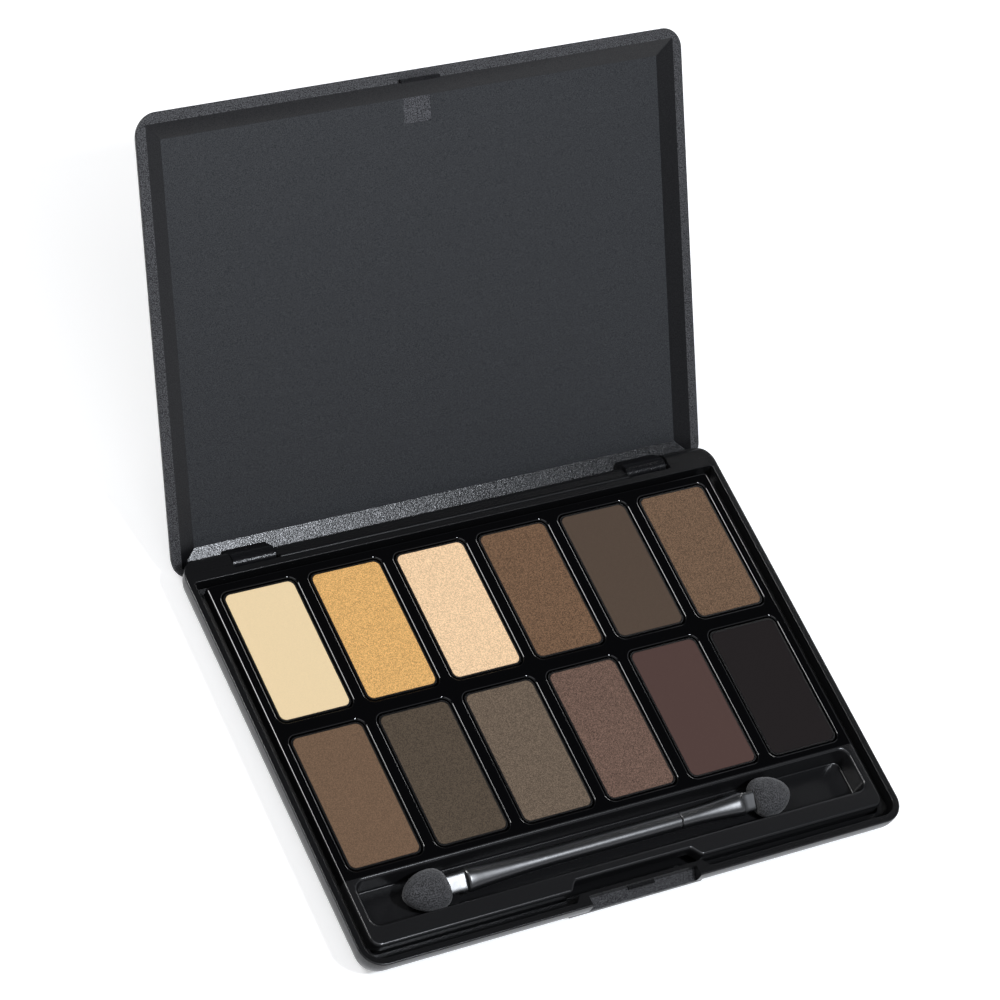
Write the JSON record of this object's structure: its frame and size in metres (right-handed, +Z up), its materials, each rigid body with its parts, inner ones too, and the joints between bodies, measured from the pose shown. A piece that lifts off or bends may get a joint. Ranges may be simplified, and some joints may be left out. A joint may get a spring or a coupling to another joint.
{
  "type": "eyeshadow palette",
  "caption": "Flat hinged makeup case with a moulded insert holding two rows of pressed powder pans, and a double-ended sponge applicator in a trough along the front.",
  "frame": {"origin": "centre of the base's flat underside, which is the face the palette rests on", "axes": "+X to the right along the hinge, +Y to the back where the lid is hinged, +Z up"},
  "size_m": [0.108, 0.1356, 0.0604],
  "materials": {
    "case_base": "matt black moulded ABS with a fine spark texture",
    "case_lid": "matt black moulded ABS, fine grain inside, spark texture on the rim",
    "pin_steel": "drawn steel wire",
    "insert": "gloss black moulded styrene",
    "foam_tape": "white foam tape",
    "hot_glue": "set hot-melt glue",
    "pan_tin": "pressed tinplate, lacquered black",
    "handle": "gloss black moulded plastic",
    "sponge": "open-cell foam rubber, flocked look",
    "powder_cream": "pressed powder",
    "powder_gold": "pressed powder",
    "powder_peach": "pressed powder",
    "powder_bronze": "pressed powder",
    "powder_taupe": "pressed powder",
    "powder_umber": "pressed powder",
    "powder_cocoa": "pressed powder",
    "powder_olive": "pressed powder",
    "powder_khaki": "pressed powder",
    "powder_mauve": "pressed powder",
    "powder_plum": "pressed powder",
    "powder_black": "pressed powder"
  },
  "bodies": {
    "base": {"base_shell": "case_base", "hinge_pin_left": "pin_steel", "hinge_pin_right": "pin_steel", "insert_tray": "insert", "tray_tape": "foam_tape", "pan_glue": "hot_glue", "pan_back_1": "pan_tin", "pan_back_2": "pan_tin", "pan_back_3": "pan_tin", "pan_back_4": "pan_tin", "pan_back_5": "pan_tin", "pan_back_6": "pan_tin", "pan_front_1": "pan_tin", "pan_front_2": "pan_tin", "pan_front_3": "pan_tin", "pan_front_4": "pan_tin", "pan_front_5": "pan_tin", "pan_front_6": "pan_tin", "powder_back_1": "powder_cream", "powder_back_2": "powder_gold", "powder_back_3": "powder_peach", "powder_back_4": "powder_bronze", "powder_back_5": "powder_taupe", "powder_back_6": "powder_umber", "powder_front_1": "powder_cocoa", "powder_front_2": "powder_olive", "powder_front_3": "powder_khaki", "powder_front_4": "powder_mauve", "powder_front_5": "powder_plum", "powder_front_6": "powder_black"},
    "lid": {"lid_shell": "case_lid"},
    "applicator": {"handle_long": "handle", "handle_short": "handle", "sponge_tip_left": "sponge", "sponge_tip_right": "sponge"}
  },
  "joints": [
    {"name": "lid_hinge", "type": "hinge", "parent": "base", "child": "lid", "pos_m": [0, 0.0387, 0.00395], "axis": [1, 0, 0], "range_deg": [0, 133]},
    {"name": "applicator_lift", "type": "slide", "parent": "base", "child": "applicator", "axis": [0, 0, 1], "range_m": [0, 0.04]}
  ]
}
